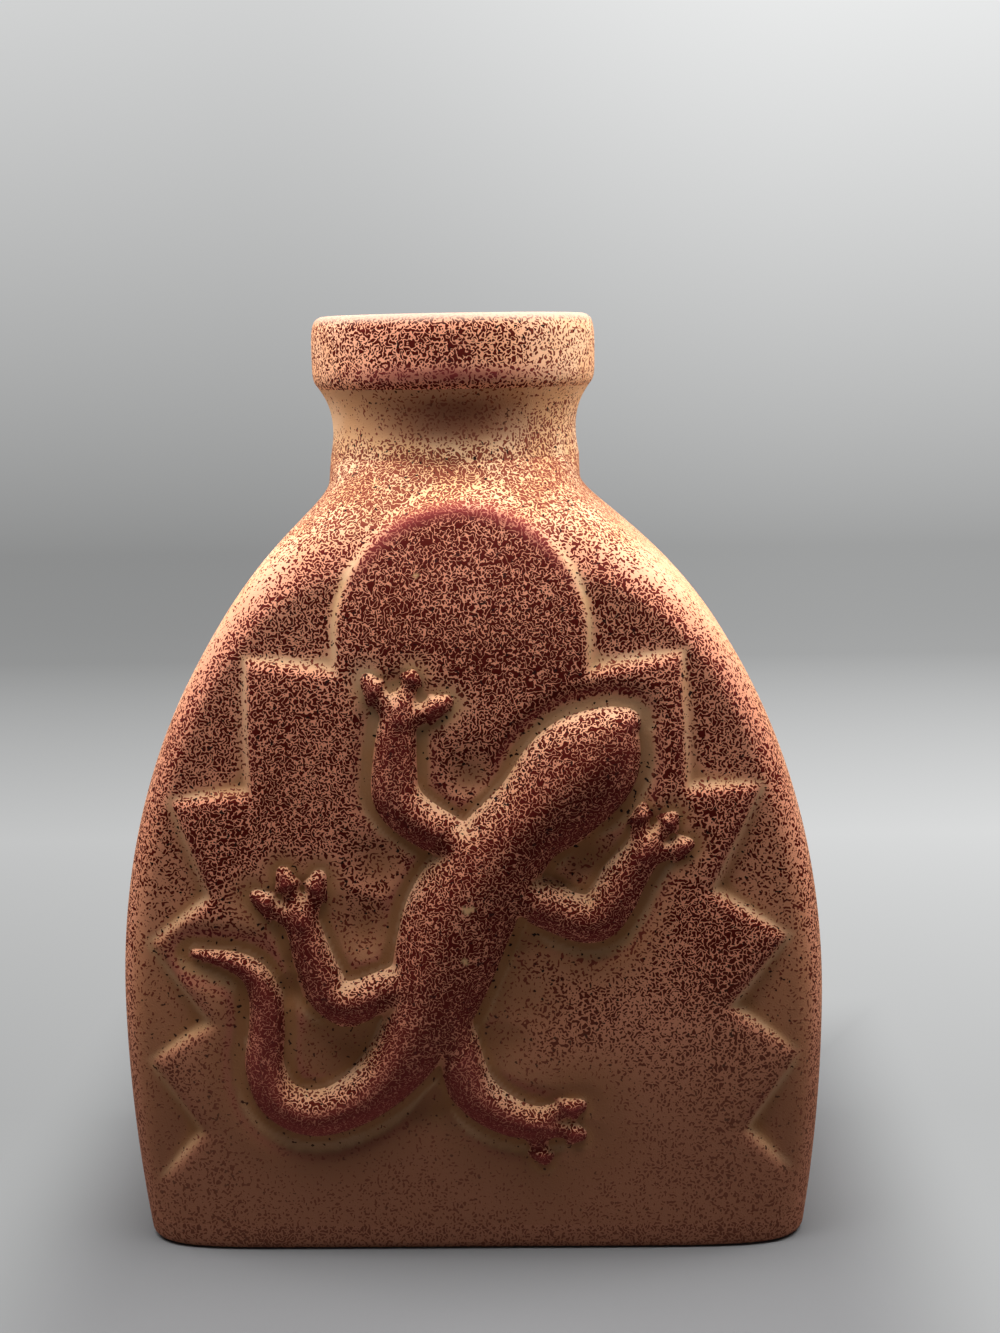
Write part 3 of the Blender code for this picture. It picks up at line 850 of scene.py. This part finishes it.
def add_piece(name, vertices, faces, node, material, finish):
    """A closed mesh that stands for a CAD node, with its finish in vertex attributes."""
    mesh = bpy.data.meshes.new(name)
    mesh.from_pydata(np.asarray(vertices).tolist(), [], faces)
    shape = bmesh.new()
    shape.from_mesh(mesh)
    bmesh.ops.recalc_face_normals(shape, faces=shape.faces)
    shape.to_mesh(mesh)
    shape.free()
    speckle, *others = finish
    layers = (np.interp(speckle, SPECKLE_SHARES, SPECKLE_LEVELS), *others)
    for label, values in zip(FINISH_LAYERS, layers):
        layer = mesh.attributes.new(label, "FLOAT", "POINT")
        layer.data.foreach_set("value", np.broadcast_to(values, len(vertices)).astype(np.float32))
    mesh.shade_smooth()
    mesh.set_sharp_from_angle(angle=math.radians(SHARP_DEGREES))
    mesh.materials.append(material)
    obj = bpy.data.objects.new(name, mesh)
    bpy.context.scene.collection.objects.link(obj)
    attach(obj, "root")
    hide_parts(node)


def inner_finish(finish, count):
    """The finish carried on over the inside."""
    layers = []
    for values, level in zip(finish, INSIDE_FINISH):
        layers.append(np.append(values, np.full(count, level)) if np.ndim(values) else values)
    return layers


def wall(name, node, turn, front_inset, material, outer, finish):
    """Half of the body. Turn is -1 for the front and 1 for the back."""
    rows, columns = outer.shape[:2]
    inner_rows = (rows - 1) // INNER_STEP + 1
    inner_columns = (columns - 1) // INNER_STEP + 1
    inner = wall_grid(inner_rows, inner_columns, SIDE_WALL, front_inset)
    vertices = np.concatenate([outer.reshape(-1, 3), inner.reshape(-1, 3)])
    vertices[:, 1] *= turn
    faces = shell_faces(rows, columns, inner_rows, inner_columns)
    finish = inner_finish(finish, inner_rows * inner_columns)
    add_piece(name, vertices, faces, node, material, finish)


def front_wall(material):
    outer = wall_grid(WALL_ROWS, WALL_COLUMNS)
    x, front, z = outer[..., 0], outer[..., 1], outer[..., 2]
    distance, halo, rises = lizard_fields(x, z)
    facing = smoothstep(*FACING_DEPTH, front)
    relief = (carved_front(x, z, front, halo) - front) * facing
    finish = front_finish(x, z, front, distance, relief + rises)
    _, halo, _ = lizard_fields(x, z, SOFT_PRESS, SOFT_REACH)
    outer[..., 1] = front + (carved_front(x, z, front, halo) - front) * facing
    wall("front_wall_glazed", "front_wall", -1.0, FRONT_WALL, material, outer, finish)


def back_wall(material):
    rows = (WALL_ROWS - 1) // 2 + 1
    columns = (WALL_COLUMNS - 1) // 2 + 1
    outer = wall_grid(rows, columns)
    x, depth, z = outer[..., 0], outer[..., 1], outer[..., 2]
    low = lowness(z)
    drift = DRIFT * dapple(x, z, 1.0)
    ridge, flank = flank_tone(depth, z, drift)
    field = tone(BACK_TONE, BACK_TO_FOOT, low, 2.0 * drift)
    speckle, film = flank + (field - flank) * smoothstep(*FLAT_DEPTH, depth)
    # Painted shade: warm shade on the flats and brown shade towards the foot
    finish = finish_layers(speckle, film, flat_warm_shade(depth, z), FOOT_BROWN_SHADE * low, veil=rolled_veil(ridge, z))
    wall("back_wall_glazed", "back_wall", 1.0, SIDE_WALL, material, outer, finish)


def floor_slab(material):
    """The foot: a slab with a rounded lower edge."""
    share = np.linspace(0.0, 1.0, (WALL_COLUMNS - 1) // 2 + 1)
    levels = []
    for angle in np.linspace(0.0, math.pi / 2, FOOT_STEPS):
        inset = FOOT_ROUND * (1.0 - math.sin(angle))
        levels.append((FOOT_ROUND * (1.0 - math.cos(angle)), inset))
    levels.append((FLOOR_THICKNESS, 0.0))
    rings = []
    for z, inset in levels:
        x, depth = half_plan(z, share, inset, inset)
        front = np.stack([x, -depth, np.full(x.size, z)], axis=-1)
        back = np.stack([x, depth, np.full(x.size, z)], axis=-1)[-2:0:-1]
        rings.append(np.concatenate([front, back]))
    rings = np.array(rings)
    rows, columns = rings.shape[:2]
    faces = grid_faces(rows, columns, wrap=True)
    faces.append(list(range(columns)))
    faces.append(list(range((rows - 1) * columns, rows * columns)))
    vertices = rings.reshape(-1, 3)
    speckle = 0.42 + 0.10 * dapple(vertices[:, 0], vertices[:, 1], 1.0)
    # Painted shade: the foot takes the full warm shade and the brown shade
    finish = finish_layers(speckle, film=0.6, warm_shade=1.0, brown_shade=FOOT_BROWN_SHADE)
    add_piece("floor_slab_glazed", vertices, faces, "floor_slab", material, finish)


def smooth_profile(profile):
    """A profile of (radius, height) with smooth steps between its points."""
    padded = [(*point, 0.0, 0.0) for point in profile]
    return smooth_path(padded)[:, :2]


def turned(name, node, outside, bottom, top, material, finish_at):
    """A ring turned about the collar's axis, from its outside profile and its plain bore."""
    bore = [(BORE_RADIUS, z) for z in np.linspace(top, bottom, BORE_STEPS)]
    profile = np.concatenate([outside, bore])
    angles = np.linspace(0.0, 2.0 * math.pi, TURN_STEPS, endpoint=False)
    radius, height = profile[:, :1], profile[:, 1:]
    rings = np.empty((len(profile), TURN_STEPS, 3))
    rings[..., 0] = COLLAR_SHIFT + radius * np.sin(angles)
    rings[..., 1] = -radius * np.cos(angles)
    rings[..., 2] = height
    faces = grid_faces(len(profile), TURN_STEPS, wrap=True)
    last = (len(profile) - 1) * TURN_STEPS
    for step in range(TURN_STEPS):
        after = (step + 1) % TURN_STEPS
        faces.append([last + step, last + after, after, step])
    vertices = rings.reshape(-1, 3)
    finish = finish_at(vertices)
    add_piece(name, vertices, faces, node, material, finish)


def collar_turn(vertices):
    """Degrees round from the front, positive to the right, and the radius."""
    x, y = vertices[:, 0] - COLLAR_SHIFT, vertices[:, 1]
    return np.degrees(np.arctan2(x, -y)), np.hypot(x, y)


def neck_finish(vertices):
    """Bare under the rim with the rim's shadow painted on its front and painted warm shade above,
    speckled from the waist down and on the right.
    """
    around, radius = collar_turn(vertices)
    z = vertices[:, 2]
    right = smoothstep(*NECK_RIGHT, around)
    start = NECK_SPECKLE_TOP + NECK_SPECKLE_CLIMB * right
    start += 0.0010 * dapple(3.0 * vertices[:, 0], vertices[:, 1], 2.0)
    lower = 1.0 - smoothstep(start - 0.0040, start + 0.0060, z)
    # Painted shadow of the rim on the front of the neck: more speckle, painted warm shade and painted
    # brown shade
    rim_shadow = bell(around - 2.0, 36.0) * smoothstep(*RIM_SHADOW_START, z)
    rim_shadow *= 1.0 - 0.6 * smoothstep(*RIM_SHADOW_END, z)
    speckle = 0.05 + (0.66 - 0.26 * right) * lower
    speckle += 0.25 * rim_shadow * (1.0 - lower)
    # Painted warm shade on the upper neck under the rim, fading out to the right
    warm_shade = 0.35 * smoothstep(*NECK_WARM_SHADE, z) * (1.0 - smoothstep(*NECK_WARM_SHADE_END, around))
    warm_shade += 0.40 * rim_shadow
    bore = radius < BORE_RADIUS + BORE_MARGIN
    # The bore takes its own speckle and painted warm shade
    speckle = np.where(bore, BORE_SPECKLE, speckle)
    warm_shade = np.where(bore, BORE_WARM_SHADE, warm_shade)
    return finish_layers(speckle, film=0.06, warm_shade=warm_shade, brown_shade=np.where(bore, 0.0, rim_shadow))


def rim_finish(vertices):
    """Red on the front of the band, paler to the right and on the lip, where a grey pink sheen is
    painted, with a smooth red lower edge.
    """
    around, radius = collar_turn(vertices)
    z = vertices[:, 2]
    front = bell(around + 14.0, 36.0)
    right = smoothstep(*RIM_RIGHT, around)
    # Painted sheen on the lip: less speckle and film, and a grey pink
    lip_sheen = smoothstep(*LIP_SHEEN_BAND, z)
    under = bell(z - RIM_RED_LINE, 0.0021) * bell(around, 40.0)
    mottle = dapple(4.0 * vertices[:, 0], 4.0 * z, 1.0)
    speckle = 0.42 + 0.20 * front - 0.05 * right - 0.10 * lip_sheen - 0.20 * under + 0.08 * mottle
    film = np.clip(0.40 + 0.60 * front - 0.20 * right - 0.10 * lip_sheen, 0.0, 1.0)
    veil = np.clip(under + 0.25 * front * mottle, 0.0, 1.0) * (1.0 - lip_sheen)
    bore = radius < BORE_RADIUS + BORE_MARGIN
    # The bore takes its own speckle and painted warm shade, with no film, sheen or veil
    speckle = np.where(bore, BORE_SPECKLE, speckle)
    film, lip_sheen, veil = np.where(bore, 0.0, (film, 0.9 * lip_sheen, veil))
    return finish_layers(speckle, film, np.where(bore, BORE_WARM_SHADE, 0.0), lip_sheen=lip_sheen, veil=veil)


def neck(material):
    outside = smooth_profile(NECK_PROFILE)
    turned("neck_glazed", "neck", outside, BODY_HEIGHT, NECK_TOP, material, neck_finish)


def rim(material):
    outside = smooth_profile(RIM_PROFILE)[:-1]
    top = RIM_PROFILE[-1][1]
    turned("rim_glazed", "rim", outside, NECK_TOP, top, material, rim_finish)


def clip_cells(inside):
    """Polygons of grid corners that are inside, and of pairs of corners where an edge is cut."""
    polygons = []
    touched = inside[:-1, :-1] | inside[1:, :-1] | inside[:-1, 1:] | inside[1:, 1:]
    for row, column in np.argwhere(touched):
        corners = ((row, column), (row, column + 1), (row + 1, column + 1), (row + 1, column))
        polygon = []
        for here, after in zip(corners, corners[1:] + corners[:1]):
            if inside[here]:
                polygon.append(here)
            if inside[here] != inside[after]:
                polygon.append((min(here, after), max(here, after)))
        polygons.append(polygon)
    return polygons


def lizard_patch():
    """Points of the lizard's patch, as (x, height, rise, hollow, edge, upward), and its faces."""
    x, z = np.meshgrid(np.arange(*LIZARD_X, LIZARD_CELL), np.arange(*LIZARD_Z, LIZARD_CELL))
    _, halo, rises = lizard_fields(x, z)
    rises = blurred(rises, 1)
    fields = np.stack([x, z, rises, *sprayed(rises - halo, z, LIZARD_CELL)], axis=-1)
    points = []
    numbers = {}

    def point(key):
        if not isinstance(key[0], tuple):
            return fields[key]
        here, after = key
        share = (OUTLINE_RISE - rises[here]) / (rises[after] - rises[here])
        share = min(max(share, CUT_MARGIN), 1.0 - CUT_MARGIN)
        return fields[here] + (fields[after] - fields[here]) * share

    def number(key):
        if key not in numbers:
            numbers[key] = len(points)
            points.append(point(key))
        return numbers[key]

    faces = [[number(key) for key in polygon] for polygon in clip_cells(rises > OUTLINE_RISE)]
    return np.array(points), faces


def open_edges(faces):
    """Edges that only one face uses, in that face's direction."""
    edges = {}
    for face in faces:
        for here, after in zip(face, face[1:] + face[:1]):
            edges[(here, after)] = True
    return [edge for edge in edges if (edge[1], edge[0]) not in edges]


def lizard_finish(x, z, hollow, edge, upward):
    """Finish of the lizard: thick on its ridges and thin along its foot, with painted warm and brown
    shade low down and on the faces that do not face up.
    """
    low = 1.0 - smoothstep(*LIZARD_LOW_BAND, z)
    speckle = (0.72 + 0.12 * edge + 0.05 * dapple(x, z, 2.0)) * (1.0 - hollow * (0.95 - 0.55 * upward))
    speckle = np.clip(speckle - 0.12 * upward, 0.03, 1.0)
    film = (0.80 + 0.20 * edge) * (1.0 - 0.6 * hollow) * (1.0 - 0.3 * upward)
    # Painted shade: warm shade on the lower lizard and on faces that do not face up, brown shade near
    # its foot
    warm_shade = (1.0 - smoothstep(*WARM_SHADE_BAND, z)) * (1.0 - 0.8 * upward)
    brown_shade = 0.25 * low * (1.0 - 0.7 * hollow) * (1.0 - upward)
    veil = (0.12 + 0.35 * edge + 0.35 * low) * (1.0 - hollow) * (1.0 - 0.8 * upward)
    return finish_layers(speckle, film, warm_shade, brown_shade, spots(x, z, LIZARD_FLAKES), veil=veil)


def lizard(material):
    """The lizard as a closed relief, seated in its groove."""
    points, faces = lizard_patch()
    x, z, rises = points.T[:3]
    _, halo, _ = lizard_fields(x, z)
    ground = carved_front(x, z, body_front(x, z), halo)
    count = len(points)
    top = np.stack([x, -(ground + rises), z], axis=-1)
    under = np.stack([x, -(ground - SEAT_DEPTH), z], axis=-1)
    closed = faces + [[index + count for index in face[::-1]] for face in faces]
    for here, after in open_edges(faces):
        closed.append([after, here, here + count, after + count])
    vertices = np.concatenate([top, under])
    x, z, _, hollow, edge, upward = np.tile(points.T, 2)
    finish = lizard_finish(x, z, hollow, edge, upward)
    add_piece("lizard_glazed", vertices, closed, "lizard_relief", material, finish)


# Glaze


class Nodes:
    """Short calls for the nodes of one material or world."""

    def __init__(self, owner):
        owner.use_nodes = True
        self.tree = owner.node_tree

    def put(self, socket, value):
        if isinstance(value, bpy.types.NodeSocket):
            self.tree.links.new(value, socket)
        elif isinstance(value, tuple):
            socket.default_value = (*value, 1.0)
        else:
            socket.default_value = value

    def add(self, kind, **values):
        """A new node with values for some of its sockets."""
        node = self.tree.nodes.new(kind)
        for label, value in values.items():
            self.put(node.inputs[label.replace("_", " ")], value)
        return node

    def place(self):
        return self.add("ShaderNodeTexCoord").outputs["Object"]

    def attribute(self, name):
        node = self.add("ShaderNodeAttribute")
        node.attribute_name = name
        return node.outputs["Fac"]

    def noise(self, place, scale, detail=2.0, twist=0.0):
        node = self.add("ShaderNodeTexNoise", Vector=place, Scale=scale, Detail=detail, Distortion=twist)
        return node.outputs["Fac"]

    def math(self, operation, first, second=0.0):
        node = self.add("ShaderNodeMath")
        node.operation = operation
        self.put(node.inputs[0], first)
        self.put(node.inputs[1], second)
        return node.outputs[0]

    def plus(self, first, second):
        return self.math("ADD", first, second)

    def minus(self, first, second):
        return self.math("SUBTRACT", first, second)

    def times(self, first, second):
        return self.math("MULTIPLY", first, second)

    def step(self, value, low, high):
        node = self.add("ShaderNodeMapRange", Value=value, From_Min=low, From_Max=high)
        node.interpolation_type = "SMOOTHSTEP"
        return node.outputs["Result"]

    def blend(self, share, first, second):
        node = self.add("ShaderNodeMix")
        node.data_type = "RGBA"
        self.put(node.inputs["Factor"], share)
        self.put(node.inputs["A"], first)
        self.put(node.inputs["B"], second)
        return node.outputs["Result"]

    def seen(self):
        """1 for rays of the camera, also by way of gloss or glass."""
        rays = self.add("ShaderNodeLightPath").outputs
        through = self.math("MAXIMUM", rays["Is Glossy Ray"], rays["Is Transmission Ray"])
        return self.math("MAXIMUM", rays["Is Camera Ray"], through)

    def show(self, output, share, first, second):
        """Put a mix of two shaders on the output."""
        mix = self.add("ShaderNodeMixShader")
        self.put(mix.inputs[0], share)
        self.put(mix.inputs[1], first.outputs[0])
        self.put(mix.inputs[2], second.outputs[0])
        self.put(self.tree.nodes[output].inputs["Surface"], mix.outputs[0])


def glaze_colour(nodes, drift, worm, grain):
    """Tan ground, red film, speckle and dark grains, and what covers them in places, among it painted
    warm shade, painted brown shade and a painted sheen on the lip.
    """
    film = nodes.attribute("film")
    colour = nodes.blend(nodes.step(drift, *PALE_BAND), TAN, PALE_TAN)
    # Painted shade: a dark warm brown where the piece says
    colour = nodes.blend(nodes.times(nodes.attribute("warm_shade"), WARM_SHADE_SHARE), colour, WARM_SHADE_TAN)
    colour = nodes.blend(nodes.times(film, FILM_SHARE), colour, RED_FILM)
    colour = nodes.blend(worm, colour, nodes.blend(nodes.step(film, *THICK_BAND), THIN_RED, MAROON))
    colour = nodes.blend(grain, colour, NEAR_BLACK)
    # Painted shade: a brown over the speckle where the piece says
    colour = nodes.blend(nodes.times(nodes.attribute("brown_shade"), BROWN_SHADE_SHARE), colour, SHADE_BROWN)
    colour = nodes.blend(nodes.times(nodes.attribute("veil"), VEIL_SHARE), colour, CRIMSON)
    colour = nodes.blend(nodes.attribute("flake"), colour, TAN)
    # Painted sheen: a grey pink on the rim's lip
    return nodes.blend(nodes.attribute("lip_sheen"), colour, LIP_SHEEN_GREY)


def speckle_glaze(name):
    """Matte tan glaze under worm-like red speckle and dark grains, as thick as the piece says."""
    material = bpy.data.materials.new(name)
    nodes = Nodes(material)
    shader = nodes.tree.nodes["Principled BSDF"]
    place = nodes.place()
    worms = nodes.noise(place, WORM_SCALE, detail=0.0, twist=WORM_TWIST)
    drift = nodes.noise(place, DRIFT_SCALE, detail=3.0)
    shift = nodes.times(nodes.minus(drift, NOISE_MIDDLE), LEVEL_DRIFT)
    level = nodes.plus(nodes.attribute("level"), shift)
    away = nodes.math("ABSOLUTE", nodes.minus(worms, NOISE_MIDDLE))
    worm = nodes.step(away, nodes.minus(level, WORM_EDGE), nodes.plus(level, WORM_EDGE))
    grain = nodes.step(nodes.noise(place, GRAIN_SCALE, detail=0.5), *GRAIN_BAND)
    nodes.put(shader.inputs["Base Color"], glaze_colour(nodes, drift, worm, grain))
    nodes.put(shader.inputs["Roughness"], GLAZE_ROUGHNESS)
    nodes.put(shader.inputs["Specular IOR Level"], GLAZE_SPECULAR)
    fine = nodes.times(nodes.noise(place, FINE_SCALE), FINE_RELIEF)
    height = nodes.plus(nodes.times(away, WORM_RELIEF), fine)
    bump = nodes.add("ShaderNodeBump", Height=height, Distance=BUMP_DISTANCE, Strength=BUMP_STRENGTH)
    nodes.put(shader.inputs["Normal"], bump.outputs["Normal"])
    return material


# Stage, light and camera


def sweep_profile():
    """Points (y, height) of the paper: a floor that bends up into a wall behind."""
    points = [(STAGE_FRONT, 0.0)]
    points += [(y, 0.0) for y in np.linspace(SWEEP_START, STAGE_BACK - SWEEP_RADIUS, SWEEP_STEPS)]
    for angle in np.linspace(0.0, math.pi / 2, SWEEP_STEPS + 1)[1:]:
        y = STAGE_BACK - SWEEP_RADIUS * (1.0 - math.sin(angle))
        points.append((y, SWEEP_RADIUS * (1.0 - math.cos(angle))))
    points += [(STAGE_BACK, z) for z in np.linspace(SWEEP_RADIUS, STAGE_TOP, SWEEP_STEPS)[1:]]
    return np.array(points)


def grey_ramp(nodes, share):
    ramp = nodes.add("ShaderNodeValToRGB", Fac=share)
    elements = ramp.color_ramp.elements
    while len(elements) < len(SWEEP_GREYS):
        elements.new(0.5)
    for element, (position, grey) in zip(elements, SWEEP_GREYS):
        element.position = position
        element.color = (grey, grey * SWEEP_TINT, grey * SWEEP_TINT, 1.0)
    return ramp.outputs["Color"]


def sweep_paper():
    """Pale paper, shown to the camera at its own level behind and beside the vase."""
    material = bpy.data.materials.new("sweep_paper")
    nodes = Nodes(material)
    shader = nodes.tree.nodes["Principled BSDF"]
    place = nodes.place()
    run = nodes.attribute("run")
    across = nodes.add("ShaderNodeSeparateXYZ", Vector=place).outputs["X"]
    grey = nodes.blend(nodes.noise(place, PAPER_SCALE), PAPER_DARK, PAPER_PALE)
    nodes.put(shader.inputs["Base Color"], grey)
    nodes.put(shader.inputs["Roughness"], PAPER_ROUGHNESS)
    gain = nodes.times(nodes.step(across, *SWEEP_SIDE_BAND), SWEEP_SIDE_GAIN)
    strength = nodes.plus(gain, SWEEP_STRENGTH)
    glow = nodes.add("ShaderNodeEmission", Color=grey_ramp(nodes, run), Strength=strength)
    aside = nodes.step(nodes.math("ABSOLUTE", across), *SWEEP_ASIDE_BAND)
    far = nodes.math("MAXIMUM", nodes.step(run, *SWEEP_FAR_BAND), aside)
    nodes.show("Material Output", nodes.times(nodes.seen(), far), shader, glow)
    return material


def stage_sweep():
    """The paper under and behind the vase, with the share of its run as an attribute."""
    profile = sweep_profile()
    run = np.concatenate([[0.0], np.cumsum(np.hypot(*np.diff(profile, axis=0).T))])
    run = np.clip((run - run[1]) / (run[-1] - run[1]), 0.0, 1.0)
    vertices = [(side, y, z) for y, z in profile for side in (-STAGE_SIDE, STAGE_SIDE)]
    mesh = bpy.data.meshes.new("stage_sweep")
    mesh.from_pydata(vertices, [], grid_faces(len(profile), 2))
    layer = mesh.attributes.new("run", "FLOAT", "POINT")
    layer.data.foreach_set("value", np.repeat(run, 2).astype(np.float32))
    mesh.shade_smooth()
    mesh.materials.append(sweep_paper())
    obj = bpy.data.objects.new("stage_sweep", mesh)
    bpy.context.scene.collection.objects.link(obj)


def soft_light(name, place, target, width, height, watts):
    """A wide light that faces its target."""
    lamp = bpy.data.lights.new(name, "AREA")
    lamp.shape = "RECTANGLE"
    lamp.size = width
    lamp.size_y = height
    lamp.energy = watts
    obj = bpy.data.objects.new(name, lamp)
    bpy.context.scene.collection.objects.link(obj)
    obj.location = place
    aim = Vector(target) - Vector(place)
    obj.rotation_euler = aim.to_track_quat("-Z", "Y").to_euler()


def room():
    """A dim grey room for the light, that the camera sees pale."""
    world = bpy.data.worlds.new("room")
    nodes = Nodes(world)
    lit = nodes.tree.nodes["Background"]
    nodes.put(lit.inputs["Color"], ROOM_LIT)
    nodes.put(lit.inputs["Strength"], ROOM_STRENGTH)
    shown = nodes.add("ShaderNodeBackground", Color=ROOM_SHOWN)
    nodes.show("World Output", nodes.seen(), lit, shown)
    bpy.context.scene.world = world


def camera():
    """The camera at the photo's viewing angle."""
    lens = bpy.data.cameras.new("camera")
    lens.sensor_width = SENSOR_MM
    lens.lens = FOCAL_PIXELS * SENSOR_MM / PHOTO_HEIGHT
    lens.clip_start = CLIP_START
    yaw, pitch, roll = (math.radians(angle) for angle in (CAMERA_YAW, CAMERA_PITCH, CAMERA_ROLL))
    pan = math.atan(PAN_PIXELS / FOCAL_PIXELS)
    place = Vector((math.sin(yaw), -math.cos(yaw), 0.0)) * CAMERA_DISTANCE
    place.x += CAMERA_SIDE
    place.z = EYE_HEIGHT
    turn = Matrix.Rotation(yaw - pan, 4, "Z") @ Matrix.Rotation(math.pi / 2 - pitch, 4, "X")
    turn = turn @ Matrix.Rotation(-roll, 4, "Z")
    obj = bpy.data.objects.new("camera", lens)
    bpy.context.scene.collection.objects.link(obj)
    obj.matrix_world = Matrix.Translation(place) @ turn
    bpy.context.scene.camera = obj


def main():
    bpy.context.scene.view_settings.view_transform = "Standard"
    glaze = speckle_glaze("speckled_glaze")
    front_wall(glaze)
    back_wall(glaze)
    floor_slab(glaze)
    neck(glaze)
    rim(glaze)
    lizard(glaze)
    stage_sweep()
    for light in LIGHTS:
        soft_light(*light)
    room()
    camera()


main()
